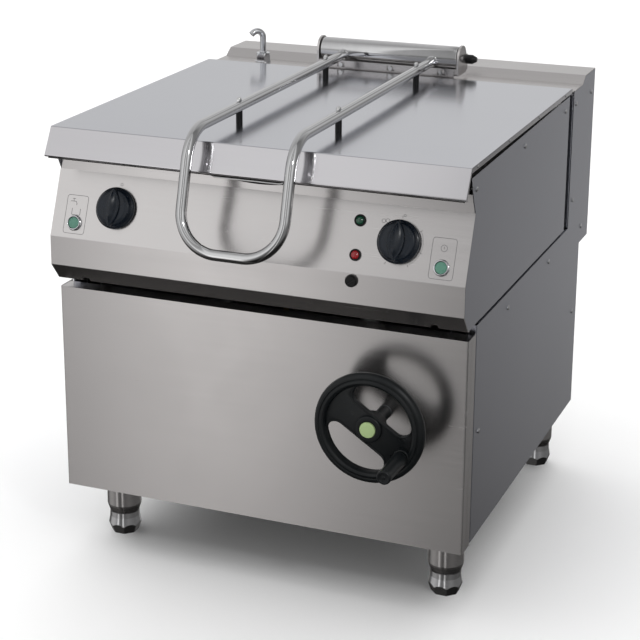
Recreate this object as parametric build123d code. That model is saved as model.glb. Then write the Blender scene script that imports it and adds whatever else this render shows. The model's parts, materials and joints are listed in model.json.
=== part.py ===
from build123d import *
import math
import os

os.makedirs("parts", exist_ok=True)

# Tilting bratt pan, free-standing 800 mm catering module.
# Millimetres, +Z up, +X to the operator's right, +Y towards the wall.
# Construction is laid out with y = 0 on the face of the lower front panel;
# every sub-part is then shifted so that the origin is the centre of the
# footprint's bounding box on the floor.

# ---------------------------------------------------------------- driving dimensions
WIDTH = 800.0            # across the casing
HX = WIDTH / 2
SHEET = 1.5              # casing sheet thickness
BEND = 1.6               # inside bend radius of the casing sheet
Z_BASE = 137.5           # underside of the cabinet (leg height)
Z_FRONT_TOP = 541.0      # top of the lower front panel
Z_SEAM = 555.0           # top of the fixed side panels
Y_CAB = 796.0            # back of the cabinet
Y_COL = 868.0            # back of the rear column
Z_COL = 858.0            # top of the rear column
Z_STEP = 495.0           # underside of the column's overhang
Y_SLOT0, Y_SLOT1 = 654.0, 690.0   # air gap behind the tilting body
Z_DECK = 843.0           # fixed deck behind the lid
PIVOT = (15.0, 585.0)    # tilt axis (y, z)
LID_TOP = 852.0
LID_FRONT = (-11.6, 852.0)
LID_NOSE = (-41.1, 801.3)
LID_REAR = 672.0
LID_SKIRT = 842.5        # bottom of the lid's side flanges
HINGE = (715.0, 886.0)   # lid hinge axis (y, z)
HINGE_R = 24.15
RAIL_X = 98.0            # half spacing of the lid handle's rails
ROD_R = 10.0
RIM_Z = 826.0            # top of the pan's rim
WELL = (345.0, 70.0, 605.0, 640.0)  # half width, front, back, underside of the pan well
WALL = 3.0
Q_TOP = (17.6, 765.3)    # control panel: top edge
Q_KNEE = (-29.8, 648.5)  # control panel: knee
Q_LOW = (-30.7, 592.8)
Q_END = (-3.7, 559.2)
KNOB_X, KNOB_S = 273.0, 62.5
KNOB_R = 38.5
LAMP_X, LAMP_S = 197.4, (32.9, 93.5)
BTN_X, BTN_S = 354.0, 98.0
PLATE_W, PLATE_S0, PLATE_S1 = 43.0, 46.5, 117.5
RESET = (195.3, 635.4)
WHEEL = (250.0, -80.0, 388.0)    # handwheel centre
WHEEL_R = 102.0
WEB_ANGLE = -33.5
GRIP_RAD = 75.0
GRIP_LEN = 88.0
JACK_P = (60.0, 388.0)   # swivel axis of the lifting spindle (y, z)
JACK_X = 185.0
JACK_DEG = 71.304        # spindle's lean at rest, from +Y
JACK_L = 209.01
JACK_EYE = (127.0, 585.98)
JACK_PIN = (122.7, 580.6)
FOOT_X, FOOT_Y = 337.0, (111.0, 751.0)
FOOT_R = 34.0
TAP = (-299.0, 731.0)

# bounding box in y: the grip of the handwheel in front, the column behind
Y_MIN = WHEEL[1] - 12.0 - 2.0 - GRIP_LEN
Y_SHIFT = -(Y_MIN + Y_COL) / 2.0

# ---------------------------------------------------------------- helpers


def bx(x0, x1, y0, y1, z0, z1):
    return Pos((x0 + x1) / 2, (y0 + y1) / 2, (z0 + z1) / 2) * Box(
        abs(x1 - x0), abs(y1 - y0), abs(z1 - z0)
    )


def rod(p, d, r, length):
    """cylinder of radius r from point p along direction d"""
    return extrude(Plane(origin=p, z_dir=d) * Circle(r), length)


def ring(p, d, r1, r0, length):
    return rod(p, d, r1, length) - rod(p, d, r0, length)


def frustum(p, d, r0, r1, length):
    pl = Plane(origin=p, z_dir=d)
    return pl * Pos(0, 0, length / 2) * Cone(r0, r1, length)


def strip_face(pts, t=SHEET, ri=BEND):
    """bent sheet seen end on: pts is its middle line, corners rounded"""
    P = [Vector(a, b, 0) for a, b in pts]
    n = len(P)
    D = [(P[i + 1] - P[i]).normalized() for i in range(n - 1)]
    N = [Vector(-d.Y, d.X, 0) for d in D]
    rm = ri + t / 2
    arcs = {}
    for i in range(1, n - 1):
        a, b = D[i - 1], D[i]
        ang = math.atan2(a.X * b.Y - a.Y * b.X, a.X * b.X + a.Y * b.Y)
        tl = rm * math.tan(abs(ang) / 2)
        s = 1 if ang > 0 else -1
        t1, t2 = P[i] - a * tl, P[i] + b * tl
        arcs[i] = (t1, t2, t1 + N[i - 1] * (s * rm), s)

    def side(sg):
        out = []
        start = cur = P[0] + N[0] * (sg * t / 2)
        for i in range(1, n - 1):
            t1, t2, c, s = arcs[i]
            r = rm - s * sg * t / 2
            a1, a2 = t1 + N[i - 1] * (sg * t / 2), t2 + N[i] * (sg * t / 2)
            m = c + ((t1 - c).normalized() + (t2 - c).normalized()).normalized() * r
            out.append(Line(cur, a1))
            out.append(ThreePointArc(a1, m, a2))
            cur = a2
        last = P[-1] + N[-1] * (sg * t / 2)
        out.append(Line(cur, last))
        return out, start, last

    le, ls, ll = side(1)
    re, rs, rl = side(-1)
    return make_face(le + [Line(ll, rl)] + re + [Line(rs, ls)])


def strip_x(pts, x0, x1, t=SHEET, ri=BEND):
    """sheet bent along a (y, z) line, running from x0 to x1"""
    return extrude(Plane.YZ.offset(x0) * strip_face(pts, t, ri), x1 - x0)


def strip_z(pts, z0, z1, t=SHEET, ri=BEND):
    """sheet bent along an (x, y) line, running from z0 to z1"""
    return extrude(Plane.XY.offset(z0) * strip_face(pts, t, ri), z1 - z0)


def strip_y(pts, y0, y1, t=SHEET, ri=BEND):
    """sheet bent along an (x, z) line, running from y0 to y1"""
    pl = Plane(origin=(0, y0, 0), x_dir=(1, 0, 0), z_dir=(0, -1, 0))
    return extrude(pl * strip_face(pts, t, ri), -(y1 - y0))


def poly_x(pts, x0, x1):
    """flat plate with a (y, z) outline between x0 and x1"""
    return extrude(Plane.YZ.offset(x0) * make_face(Polyline(*pts, close=True)), x1 - x0)


def mx(s):
    """the same shape on the other side of the middle plane"""
    return mirror(s, about=Plane.YZ)


def inset(pts, d):
    """the line d behind an outline (mitred), material lying to its left"""
    out = []
    n = len(pts)
    for i in range(n):
        ns = []
        for j in (i - 1, i):
            if 0 <= j < n - 1:
                a, b = pts[j], pts[j + 1]
                l = math.hypot(b[0] - a[0], b[1] - a[1])
                ns.append((-(b[1] - a[1]) / l, (b[0] - a[0]) / l))
        if len(ns) == 1:
            out.append((pts[i][0] + ns[0][0] * d, pts[i][1] + ns[0][1] * d))
        else:
            k = d / (1 + ns[0][0] * ns[1][0] + ns[0][1] * ns[1][1])
            out.append((pts[i][0] + (ns[0][0] + ns[1][0]) * k, pts[i][1] + (ns[0][1] + ns[1][1]) * k))
    return out


def solids_of(*shapes):
    out = []
    for s in shapes:
        out.extend(s.solids())
    return out


written = {}


def save(name, *shapes):
    sol = solids_of(*shapes)
    moved = [Pos(0, Y_SHIFT, 0) * s for s in sol]
    shape = moved[0] if len(moved) == 1 else Compound(children=moved)
    export_step(shape, f"parts/{name}.step")
    written[name] = len(sol)


# control panel's own directions in (y, z)
_pl = math.hypot(Q_KNEE[0] - Q_TOP[0], Q_KNEE[1] - Q_TOP[1])
PT = ((Q_KNEE[0] - Q_TOP[0]) / _pl, (Q_KNEE[1] - Q_TOP[1]) / _pl)   # down the face
PN = (PT[1], -PT[0])                                                # out of the face


def on_panel(x, s, h=0.0):
    """point on the sloping face: x across, s down from the top edge, h out of it"""
    return (x, Q_TOP[0] + PT[0] * s + PN[0] * h, Q_TOP[1] + PT[1] * s + PN[1] * h)


PDIR = (0.0, PN[0], PN[1])


def panel_plane(x, s, h=0.0):
    """local x across, local y up the face, local z out of it"""
    return Plane(origin=on_panel(x, s, h), x_dir=(1, 0, 0), z_dir=PDIR)


# ---------------------------------------------------------------- fixed cabinet
# lower front panel: one cover with side returns and top and bottom lips
front = strip_z([(-399.25, 45), (-399.25, 0.75), (399.25, 0.75), (399.25, 45)], 135, Z_FRONT_TOP)
front += strip_x([(0.75, 500), (0.75, Z_FRONT_TOP - 0.75), (34, Z_FRONT_TOP - 0.75)], -397, 397)
front += strip_x([(0.75, 170), (0.75, 135.75), (24, 135.75)], -397, 397)
front -= rod((WHEEL[0], -1, WHEEL[2]), (0, 1, 0), 13.0, 4)
save("front_panel", front)

# side panels: cabinet side and rear column side in one L-shaped sheet
SIDE_SCREWS = [(79, 345), (249, 524), (540, 528), (806, 529), (761, 353), (718, 609), (712, 813), (841, 812)]
side_out = [
    (49.5, Z_BASE), (49.5, Z_SEAM), (Y_SLOT1, Z_SEAM), (Y_SLOT1, Z_DECK - 1.8), (761.5, Z_DECK - 1.8),
    (785.0, Z_COL - 1.8), (Y_COL - 1.6, Z_COL - 1.8), (Y_COL - 1.6, Z_STEP), (Y_CAB, Z_STEP), (Y_CAB, Z_BASE),
]
side = poly_x(side_out, HX - SHEET, HX)
side += strip_z([(384, 48.75), (399.25, 48.75), (399.25, 62)], Z_BASE, Z_SEAM)
side += strip_y([(386, Z_SEAM - 0.75), (399.25, Z_SEAM - 0.75), (399.25, Z_SEAM - 20)], 62, 684)
side += strip_y([(380, Z_BASE + 0.75), (399.25, Z_BASE + 0.75), (399.25, Z_BASE + 20)], 62, 780)
side += strip_z([(384, Y_SLOT1 + 0.75), (399.25, Y_SLOT1 + 0.75), (399.25, Y_SLOT1 + 14)], Z_SEAM + 2, Z_DECK - 11)
side += strip_z([(380, Y_CAB - 0.75), (399.25, Y_CAB - 0.75), (399.25, Y_CAB - 20)], Z_BASE + 6, Z_STEP - 2)
for y, z in SIDE_SCREWS:
    side -= rod((HX - 4, y, z), (1, 0, 0), 2.3, 8)
save("side_panel_right", side)
save("side_panel_left", mx(side))

# domed screws of the fixed panels, both sides
def side_screw(y, z):
    s = rod((HX - 9, y, z), (1, 0, 0), 2.0, 9.05)
    h = Plane(origin=(HX + 0.02, y, z), z_dir=(1, 0, 0)) * Cylinder(4.6, 1.0, align=(Align.CENTER, Align.CENTER, Align.MIN))
    d = Plane(origin=(HX + 1.0, y, z), z_dir=(1, 0, 0)) * Cone(4.6, 2.6, 1.0, align=(Align.CENTER, Align.CENTER, Align.MIN))
    b = h + d + s
    b -= Plane(origin=(HX + 1.1, y, z), x_dir=(0, 1, 0), z_dir=(1, 0, 0)) * Pos(0, 0, 1) * (Box(4.4, 0.9, 2) + Box(0.9, 4.4, 2))
    return b


scr = [side_screw(y, z) for y, z in SIDE_SCREWS]
save("panel_screws", *scr, *[mx(s) for s in scr])

# cabinet back and the rear column
back = strip_x([(788.8, 142.5), (Y_CAB - 2.4, 142.5), (Y_CAB - 2.4, Z_STEP - 2.5), (788.8, Z_STEP - 2.5)], -378, 378, 1.2, 1.2)
back -= rod((250, 785, 220), (0, 1, 0), 12.3, 20)
back -= rod((-250, 785, 220), (0, 1, 0), 14.5, 20)
for i in range(9):          # vent slots
    back -= bx(-60 + i * 15 - 2.5, -60 + i * 15 + 2.5, 785, 800, 300, 400)
save("rear_panel", back)

deck = strip_x(
    [(Y_SLOT1 + 3.2, Z_SEAM + 2), (Y_SLOT1 + 3.2, Z_DECK - 9), (Y_SLOT1 + 0.75, Z_DECK - 5), (Y_SLOT1 + 0.75, Z_DECK - 0.75),
     (760.8, Z_DECK - 0.75), (784.0, Z_COL - 0.75), (Y_COL - 0.75, Z_COL - 0.75), (Y_COL - 0.75, Z_COL - 22)],
    -398.2, 398.2, 1.5, 1.2)
deck += strip_x(
    [(Y_SLOT1 + 2.0, Z_DECK - 0.75), (760.8, Z_DECK - 0.75), (784.0, Z_COL - 0.75), (Y_COL - 2.0, Z_COL - 0.75)],
    -HX, HX, 1.5, 1.2)
deck -= rod((TAP[0], TAP[1], Z_DECK - 5), (0, 0, 1), 10.4, 8)
save("column_cover", deck)

colback = strip_x([(Y_CAB - 1, Z_STEP + 0.75), (Y_COL - 0.75, Z_STEP + 0.75), (Y_COL - 0.75, Z_COL - 23)], -398.2, 398.2)
for i in range(12):         # flue and vent slots
    colback -= bx(-165 + i * 30 - 9, -165 + i * 30 + 9, Y_COL - 4, Y_COL + 2, 780, 786)
    colback -= bx(-165 + i * 30 - 9, -165 + i * 30 + 9, Y_COL - 4, Y_COL + 2, 796, 802)
save("column_back", colback)

# frame: square tube posts and rails
def square_tube(x0, x1, y0, y1, z0, z1, axis, t=2.0):
    o = bx(x0, x1, y0, y1, z0, z1)
    if axis == "z":
        return o - bx(x0 + t, x1 - t, y0 + t, y1 - t, z0 - 1, z1 + 1)
    if axis == "y":
        return o - bx(x0 + t, x1 - t, y0 - 1, y1 + 1, z0 + t, z1 - t)
    return o - bx(x0 - 1, x1 + 1, y0 + t, y1 - t, z0 + t, z1 - t)


frame = bx(-396, 396, 50.5, 788, 139.2, 141)
frame += strip_x([(52, 165), (52, 140.1), (80, 140.1)], -378, 378, 1.8)
frame += strip_x([(774, 165), (774, 140.1), (745, 140.1)], -378, 378, 1.8)
for fx in (-FOOT_X, FOOT_X):
    for fy in FOOT_Y:
        frame -= rod((fx, fy, 138), (0, 0, 1), 8.6, 5)
for sx in (-1, 1):
    a, b = sorted((sx * 348, sx * 378))
    for y0 in (62, 758):
        frame += square_tube(a, b, y0, y0 + 30, 140.5, 516, "z")
    frame += square_tube(a, b, 62, 788, 515, 545, "y")
frame += square_tube(-349, 349, 62, 92, 310, 340, "x")
frame += square_tube(-349, 349, 758, 788, 515, 545, "x")


# tilt bearing brackets, welded on the side rails
def rel(pts):
    return [(PIVOT[0] + a, PIVOT[1] + b) for a, b in pts]


ear = poly_x(rel([(0, 14), (50, 3), (77, -20), (77, -40.2), (50, -40.2), (38, -30), (6, -12.5)]), 336, 344) + rod((336, *PIVOT), (1, 0, 0), 15, 8)
ear += bx(336, 378, 64, 92, 544.5, 549.5)
ear -= rod((330, *PIVOT), (1, 0, 0), 8.05, 20)
frame += ear
frame += mx(ear)
# seats of the wheel gearbox and of the lifting spindle on the front rail
frame += bx(WHEEL[0] - 25, WHEEL[0] + 25, 64, 90, 339.5, WHEEL[2] - 27.2)
seat = bx(JACK_X - 46, JACK_X - 38, 46, 74, 339.5, 402) + rod((JACK_X - 46, *JACK_P), (1, 0, 0), 14, 8) + bx(JACK_X - 60, JACK_X - 38, 64, 90, 339.5, 345)
seat -= rod((JACK_X - 50, *JACK_P), (1, 0, 0), 8.05, 16)
frame += seat
save("frame", frame)

# rubber rests under the tilting body
rests = [rod((sx * 363, 620, 545), (0, 0, 1), 10, 15.2) for sx in (-1, 1)]
save("rest_buffers", *rests)

# legs: flanged sleeve with a threaded boss, screwed levelling foot in it
legs = []
for fx in (-FOOT_X, FOOT_X):
    for fy in FOOT_Y:
        prof = Polyline(
            (6.1, 159), (8.3, 159), (8.3, 137.3), (FOOT_R + 5, 137.3), (FOOT_R + 5, 134.5), (FOOT_R, 133),
            (FOOT_R, 62), (FOOT_R - 0.7, 58), (FOOT_R - 4.0, 48), (FOOT_R - 4.8, 46.5), (25.0, 46.5), (25.0, 128), (6.1, 130), close=True)
        legs.append(Pos(fx, fy, 0) * revolve(Plane.XZ * make_face(prof), Axis.Z))
save("legs", *legs)


def foot_shape():
    """levelling foot: flared base with eight ground facets, neck, collar inside the sleeve, threaded stem"""
    core = revolve(
        Plane.XZ * make_face(Polyline((0, 0), (28.0, 0), (32.4, 16.5), (32.2, 19), (29.6, 34), (29.2, 44.6), (24.7, 44.6), (24.7, 76), (6.0, 76), (6.0, 122), (0, 122), close=True)),
        Axis.Z)
    o0 = Plane.XY * RegularPolygon(24.6, 8, major_radius=False, rotation=22.5)
    o1 = Plane.XY.offset(24) * RegularPolygon(33.0, 8, major_radius=False, rotation=22.5)
    octo = loft([o0, o1]) + Pos(0, 0, 22) * Cylinder(40, 110, align=(Align.CENTER, Align.CENTER, Align.MIN))
    return core & octo


FOOT = foot_shape()
feet = {}
for i, (fx, fy, nm) in enumerate(
        ((-FOOT_X, FOOT_Y[0], "front_left"), (FOOT_X, FOOT_Y[0], "front_right"), (-FOOT_X, FOOT_Y[1], "rear_left"), (FOOT_X, FOOT_Y[1], "rear_right"))):
    save("foot_" + nm, Pos(fx, fy, 0) * FOOT)

# tap: hexagonal base on the deck, swan-neck spout that swivels in it
tx, ty = TAP
tapb = rod((tx, ty, Z_DECK + 0.05), (0, 0, 1), 17.0, 2.2)
tapb += extrude(Plane.XY.offset(Z_DECK + 2.2) * Pos(tx, ty) * RegularPolygon(14.0, 6, major_radius=False, rotation=0), 17.5) & (
    Pos(tx, ty, Z_DECK) * Cone(19.5, 13.5, 22.5, align=(Align.CENTER, Align.CENTER, Align.MIN)))
tapb += rod((tx, ty, Z_DECK - 26), (0, 0, 1), 10.2, 27)
tapb -= rod((tx, ty, Z_DECK - 14), (0, 0, 1), 5.55, 40)
tapb -= rod((tx, ty, Z_DECK - 27), (0, 0, 1), 4.0, 20)
save("tap_base", tapb)
SP_R = 14.0
z_arc = 896.0
ca, sa = math.cos(math.radians(225)), math.sin(math.radians(225))
end_a = math.radians(130)


def arc_pt(a):
    h = SP_R * (1 - math.cos(a))
    return (tx + ca * h, ty + sa * h, z_arc + SP_R * math.sin(a))


p0 = (tx, ty, Z_DECK - 13)
p1 = (tx, ty, z_arc)
pa, pb = arc_pt(end_a / 2), arc_pt(end_a)
dirx = (ca * math.sin(end_a), sa * math.sin(end_a), math.cos(end_a))
pc = (pb[0] + dirx[0] * 5, pb[1] + dirx[1] * 5, pb[2] + dirx[2] * 5)
neck_low = rod(p0, (0, 0, 1), 5.5, Z_DECK + 22 - (Z_DECK - 13))
path = Line((tx, ty, Z_DECK + 20.5), p1) + ThreePointArc(p1, pa, pb) + Line(pb, pc)
neck = sweep(Plane(origin=(tx, ty, Z_DECK + 20.5), z_dir=(0, 0, 1)) * Circle(6.5), path=path)
nbore = sweep(Plane(origin=(tx, ty, Z_DECK + 20.5), z_dir=(0, 0, 1)) * Circle(4.6), path=path)
spout = neck + neck_low + ring((tx, ty, Z_DECK + 20.5), (0, 0, 1), 8.2, 5.0, 3.2)
spout -= nbore
spout -= rod((tx, ty, Z_DECK - 14), (0, 0, 1), 4.0, 40)
save("tap_spout", spout)

# water line: pipe down the column, solenoid valve, threaded inlet at the back
pipe_pts = [(tx, ty, Z_DECK - 26.5), (tx, ty, 330), (tx, 770, 300), (-250, 770, 262)]
wp = FilletPolyline((tx, ty, Z_DECK - 26.5), (tx, ty, 600), (-250, 745, 540), (-250, 745, 262), radius=40)
wpipe = sweep(Plane(origin=(tx, ty, Z_DECK - 26.5), z_dir=(0, 0, -1)) * Circle(6.0), path=wp)
save("water_pipe", wpipe)
valve = bx(-270, -230, 728, 762, 205, 261.8) + rod((-250, 745, 190), (0, 0, 1), 13, 16) + bx(-290, -270, 735, 755, 212, 240)
valve += rod((-250, 761, 220), (0, 1, 0), 9, 28) + rod((-250, 786, 220), (0, 1, 0), 13.2, 30)
valve -= rod((-250, 752, 220), (0, 1, 0), 6.5, 80)
valve -= ring((-250, 794.4, 220), (0, 1, 0), 20, 12.4, 1.6)
save("solenoid_valve", valve)

# electrical supply: gland in the back, terminal box behind it
gl = rod((250, 788, 220), (0, 1, 0), 12.0, 8) + extrude(Plane(origin=(250, 794.9, 220), z_dir=(0, 1, 0)) * RegularPolygon(14, 6, major_radius=False), 7)
gl += extrude(Plane(origin=(250, 801.9, 220), z_dir=(0, 1, 0)) * Circle(12.5), 13)
gl += extrude(Plane(origin=(250, 780, 220), z_dir=(0, 1, 0)) * RegularPolygon(14, 6, major_radius=False), 9)
gl -= rod((250, 770, 220), (0, 1, 0), 7.5, 60)
save("cable_gland", gl)

# ---------------------------------------------------------------- tilting body
mid = inset([(20.0, 797.5), Q_TOP, Q_KNEE, Q_LOW, Q_END, (6.0, Q_END[1])], SHEET / 2)
panel = strip_x(mid, -HX, HX, SHEET, 1.4)
panel -= bx(333, 347, -10, 20, 550, 575) + bx(-347, -333, -10, 20, 550, 575)
for sx in (-1, 1):
    panel -= rod(on_panel(sx * KNOB_X, KNOB_S, 3), tuple(-c for c in PDIR), 6.0, 8)
    panel -= rod(on_panel(sx * BTN_X, BTN_S, 3), tuple(-c for c in PDIR), 12.2, 8)
for s in LAMP_S:
    panel -= rod(on_panel(LAMP_X, s, 3), tuple(-c for c in PDIR), 6.6, 8)
panel -= rod((RESET[0], -40, RESET[1]), (0, 1, 0), 8.2, 14)
# shallow curved dip in the upright top edge, under the pouring spout
dip = make_face([ThreePointArc((-76, 784), (0, 775.8), (76, 784)), Line((76, 784), (76, 800)), Line((76, 800), (-76, 800)), Line((-76, 800), (-76, 784))])
panel -= extrude(Plane(origin=(0, 30, 0), x_dir=(1, 0, 0), z_dir=(0, -1, 0)) * dip, 25)
panel -= bx(397.9, 402, 10, 30, 766.4, 800) + bx(-402, -397.9, 10, 30, 766.4, 800)
save("control_panel", panel)

# side cheeks of the tilting body, with a folded top edge
cheek_out = [
    (7.0, 789), (18.2, 767.4), (20.1, 767.2), (19.9, 765.6), (-27.4, 648.7), (-28.4, 593.3), (-3.1, 561.2), (Y_SLOT0, 560.5), (Y_SLOT0, 839.5), (-10.0, 833.8)]
cheek = poly_x(cheek_out, HX - SHEET, HX)
cheek += strip_y([(386, RIM_Z - 3.15), (399.25, RIM_Z - 3.15), (399.25, RIM_Z - 20)], 26, 650)
cheek += strip_y([(386, 561.25), (399.25, 561.25), (399.25, 580)], 20, 650)
cheek += strip_z([(380, Y_SLOT0 - 0.75), (399.25, Y_SLOT0 - 0.75), (399.25, Y_SLOT0 - 14)], 564, RIM_Z - 6)
CASING_SCREWS = [(21.0, 808), (325, 813), (625, 815)]
for y, z in CASING_SCREWS:
    cheek -= rod((HX - 4, y, z), (1, 0, 0), 2.3, 8)
casing = strip_x([(636, 561.25), (Y_SLOT0 - 0.75, 561.25), (Y_SLOT0 - 0.75, RIM_Z - 3.15), (640, RIM_Z - 3.15)], -381, 381)
casing += bx(-387, 387, 100, 640, 560.5, 562.0) - bx(JACK_X - 34, JACK_X + 34, 90, 190, 555, 565)
casing += cheek
casing += mx(cheek)
save("tilt_casing", casing)
cs = [side_screw(y, z) for y, z in CASING_SCREWS]
save("casing_screws", *cs, *[mx(s) for s in cs])

# pan: deep-drawn well with a wide rim and a pouring lip
hw, wy0, wy1, wz0 = WELL
wyc, wd = (wy0 + wy1) / 2, wy1 - wy0
outer = extrude(Plane.XY.offset(wz0) * Pos(0, wyc) * RectangleRounded(2 * hw, wd, 42), RIM_Z - wz0)
outer = fillet(outer.faces().sort_by(Axis.Z)[0].edges(), 18)
inner = extrude(Plane.XY.offset(wz0 + WALL) * Pos(0, wyc) * RectangleRounded(2 * hw - 2 * WALL, wd - 2 * WALL, 39), RIM_Z - wz0)
inner = fillet(inner.faces().sort_by(Axis.Z)[0].edges(), 15)
rim = bx(-396, 396, 36, 652, RIM_Z - 2, RIM_Z)
lip = strip_x([(38, RIM_Z - 1), (24, RIM_Z - 1), (-33.5, 798.2)], -396, 396, 2.0, 2.0)
pan = outer + rim + lip
pan -= inner
# pouring spout: a shallow trough through the front rim and down the lip
def trough(off, hw_top, hw_bot):
    a = Plane(origin=(0, 90, 0), x_dir=(1, 0, 0), z_dir=(0, -1, 0))
    f1 = a * make_face(Polyline((-hw_top, 840), (-hw_top, RIM_Z + 1), (-hw_bot, 808 - off), (hw_bot, 808 - off), (hw_top, RIM_Z + 1), (hw_top, 840), close=True))
    b = Plane(origin=(0, -33.5, 0), x_dir=(1, 0, 0), z_dir=(0, -1, 0))
    f2 = b * make_face(Polyline((-hw_top, 840), (-hw_top, 799.4), (-hw_bot, 796.0 - off), (hw_bot, 796.0 - off), (hw_top, 799.4), (hw_top, 840), close=True))
    return loft([f1, f2])


t_out = trough(2.0, 77.2, 62.2) & poly_x([(-32.8, 770), (-32.8, 798.4), (24, RIM_Z - 1), (wy0 + 1.5, RIM_Z - 1), (wy0 + 1.5, 770)], -90, 90)
t_in = trough(0, 75, 60) & bx(-90, 90, -60, wy0 + 10, 780, 840)
pan = pan + t_out
pan -= t_in
save("pan_tub", pan)
plate = extrude(Plane.XY.offset(wz0 - 12.2) * Pos(0, wyc) * RectangleRounded(2 * hw - 44, wd - 44, 30), 12.0)
save("pan_heat_plate", plate)

# heating elements clamped under the plate
els = []
for i in (-1, 0, 1):
    xc = i * 205
    pth = FilletPolyline((xc - 75, 590, 619), (xc - 75, 105, 619), (xc + 75, 105, 619), (xc + 75, 590, 619), radius=40)
    e1 = sweep(Plane(origin=(xc - 75, 590, 619), z_dir=(0, -1, 0)) * Circle(4.2), path=pth)
    els.append(e1)
save("heating_elements", *els)
# tilting frame under the pan
tf = None
for y0 in (160, 420, 600):
    t = square_tube(-353, 353, y0, y0 + 30, 574, 604, "x")
    tf = t if tf is None else tf + t
for x0 in (322, 352):
    a = poly_x(rel([(0, 17), (60, 17), (620, 20), (620, -12), (60, -12), (12, -12)]), x0, x0 + 6) + rod((x0, *PIVOT), (1, 0, 0), 17, 6)
    a -= rod((x0 - 2, *PIVOT), (1, 0, 0), 8.05, 10)
    tf += a
    tf += mx(a)
# clevis that the lifting spindle pushes on
for x0 in (JACK_X - 23, JACK_X + 17):
    c = poly_x([(112, 566), (134, 566), (160.5, 578), (160.5, 603), (112, 596)], x0, x0 + 6) + rod((x0, *JACK_PIN), (1, 0, 0), 14.5, 6)
    c -= rod((x0 - 1, *JACK_PIN), (1, 0, 0), 8.05, 8)
    tf += c
save("tilt_frame", tf)


def pin50(xc, y, z):
    p = rod((xc - 25, y, z), (1, 0, 0), 8.0, 50)
    for e in (-23, 23):
        p -= rod((xc + e, y, z - 10), (0, 0, 1), 1.25, 20)
    return p


# headless clevis pins: two trunnions and the lift pin
save("frame_pins", pin50(340, *PIVOT), pin50(-340, *PIVOT), pin50(JACK_X, *JACK_PIN))

# ---------------------------------------------------------------- controls
def knob():
    """round control knob with a skirt and a lens-shaped grip across it"""
    skirt = revolve(
        Plane.XZ * make_face(Polyline((0, 1.0), (KNOB_R - 0.6, 1.0), (KNOB_R, 1.8), (KNOB_R, 7.0), (KNOB_R - 1.2, 8.6), (KNOB_R - 3.4, 9.6), (KNOB_R - 5.0, 15.0), (KNOB_R - 7.5, 18.0), (0, 19.0), close=True)),
        Axis.Z)
    lens = Plane.XY.offset(12) * (Pos(46, 0) * Circle(58) & Pos(-46, 0) * Circle(58))
    g = extrude(lens, 17.0)
    g = g & (Plane.XY * Cylinder(KNOB_R - 4.0, 60))
    try:
        g = fillet(g.faces().sort_by(Axis.Z)[-1].edges(), 2.0)
    except Exception:
        pass
    b = skirt + g
    b += Pos(0, 0, 28.6) * Box(1.6, 52, 1.6)
    b += Cylinder(4.0, 21, align=(Align.CENTER, Align.CENTER, Align.MAX)) + Cylinder(4.0, 3, align=(Align.CENTER, Align.CENTER, Align.MIN))
    return b


KN = knob()
for sx, nm in ((-1, "knob_left"), (1, "knob_right")):
    save(nm, panel_plane(sx * KNOB_X, KNOB_S) * KN)


def body_behind(x, s, w, h, d, r):
    """component body behind the panel, with a bore for its spindle"""
    b = panel_plane(x, s, -3.2) * Box(w, h, d, align=(Align.CENTER, Align.CENTER, Align.MAX))
    b += panel_plane(x, s, -3.2) * Cylinder(5.4, 3.4, align=(Align.CENTER, Align.CENTER, Align.MIN))
    b -= panel_plane(x, s, 2) * Cylinder(r, 26, align=(Align.CENTER, Align.CENTER, Align.MAX))
    return b


save("rotary_switches", body_behind(-KNOB_X, KNOB_S, 44, 42, 42, 4.08), body_behind(KNOB_X, KNOB_S, 44, 42, 42, 4.08))

# push buttons: chromed bezel with its sleeve, sprung cap in it
BEZ = revolve(Plane.XZ * make_face(Polyline((11.0, 0.05), (14.6, 0.05), (14.6, 1.6), (13.0, 5.2), (11.6, 5.8), (11.0, 5.4), close=True)), Axis.Z)
BEZ += Pos(0, 0, -24) * (Cylinder(12.0, 24.05, align=(Align.CENTER, Align.CENTER, Align.MIN)) - Cylinder(11.0, 24.1, align=(Align.CENTER, Align.CENTER, Align.MIN)))
CAP = revolve(Plane.XZ * make_face(Polyline((0, -9.0), (10.92, -9.0), (10.92, 3.4), (10.2, 4.3), (8.5, 4.4), (7.6, 3.6), (0, 3.4), close=True)), Axis.Z)
CAP += Pos(0, 0, -20) * Cylinder(3.0, 12, align=(Align.CENTER, Align.CENTER, Align.MIN))
bezels = [panel_plane(sx * BTN_X, BTN_S) * BEZ for sx in (-1, 1)]
save("button_bezels", *bezels)
save("button_left", panel_plane(-BTN_X, BTN_S) * CAP)
save("button_right", panel_plane(BTN_X, BTN_S) * CAP)

# pilot lamps
LB = revolve(Plane.XZ * make_face(Polyline((7.9, 0.05), (10.6, 0.05), (10.6, 2.4), (9.4, 3.8), (7.9, 3.8), close=True)), Axis.Z)
LL = revolve(Plane.XZ * make_face(Polyline((0, -16), (6.3, -16), (6.3, 0.4), (7.6, 0.4), (7.6, 2.6), (6.6, 4.6), (4.2, 6.2), (0, 6.9), close=True)), Axis.Z)
save("lamp_bezels", *[panel_plane(LAMP_X, s) * LB for s in LAMP_S])
save("lamp_green", panel_plane(LAMP_X, LAMP_S[0]) * LL)
save("lamp_red", panel_plane(LAMP_X, LAMP_S[1]) * LL)

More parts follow.
